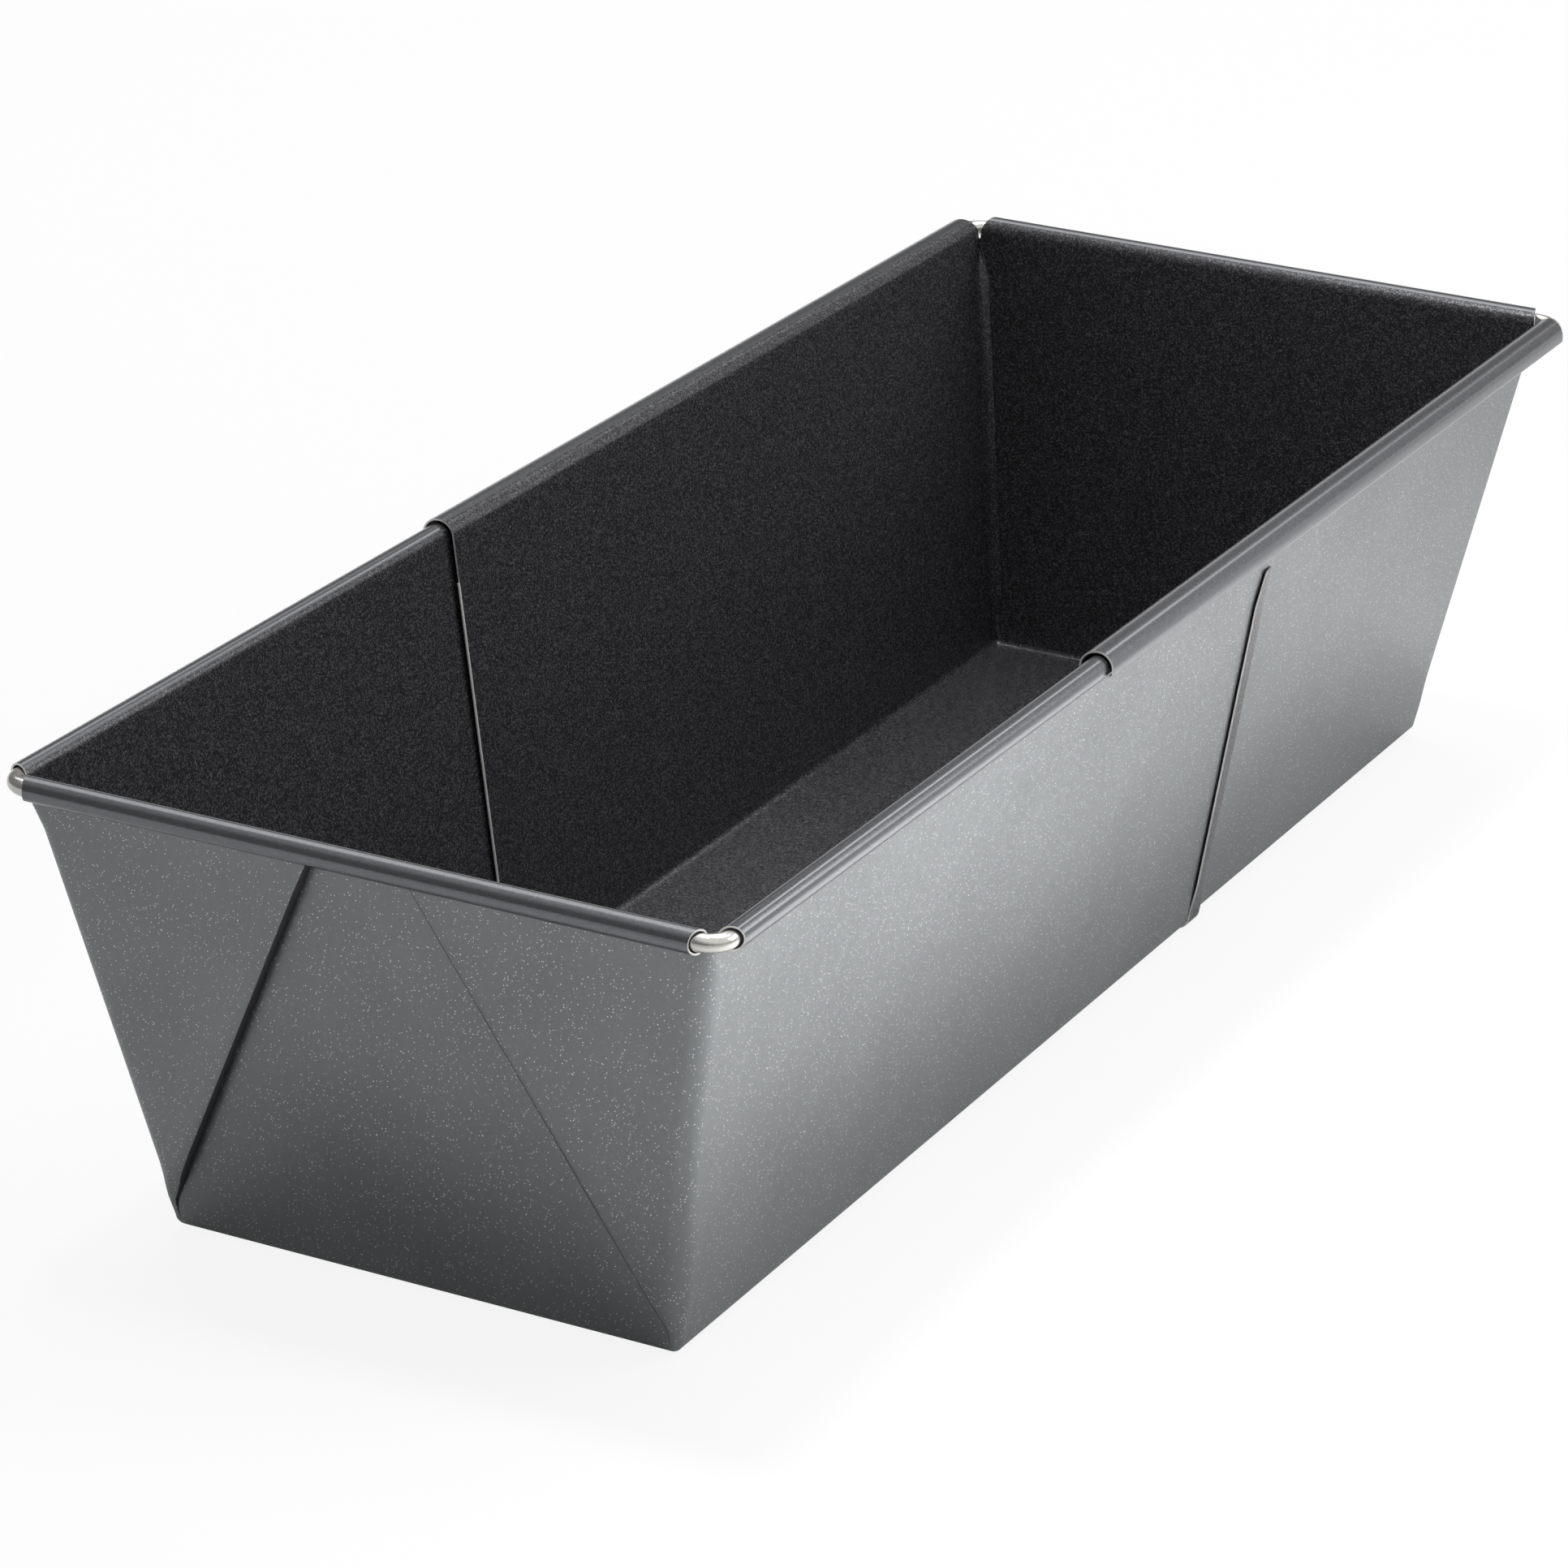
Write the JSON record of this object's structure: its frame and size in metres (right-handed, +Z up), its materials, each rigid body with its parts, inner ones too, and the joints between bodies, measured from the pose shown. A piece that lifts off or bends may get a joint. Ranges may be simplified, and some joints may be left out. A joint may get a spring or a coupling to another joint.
{
  "type": "extendable loaf pan",
  "caption": "Telescoping loaf pan of coated sheet steel: two folded halves with wired rims slide one inside the other to set the length of the loaf.",
  "frame": {"origin": "on the table under the middle of the pan as it stands drawn out", "axes": "+Z up, +Y along the pan from the front half to the rear half, +X across the pan"},
  "size_m": [0.1216, 0.32, 0.0777],
  "materials": {
    "front_sheet": "grey non-stick coating with fine metallic flakes outside, satin near-black inside",
    "rear_sheet": "satin dark grey non-stick coating",
    "rim_wire": "bright drawn steel wire"
  },
  "bodies": {
    "front_body": {"front_half": "front_sheet", "front_rim_wire": "rim_wire"},
    "rear_body": {"rear_half": "rear_sheet", "rear_rim_wire": "rim_wire"}
  },
  "joints": [
    {"name": "length_slide", "type": "slide", "parent": "front_body", "child": "rear_body", "axis": [0, 1, 0], "range_m": [-0.096, 0.038]}
  ]
}
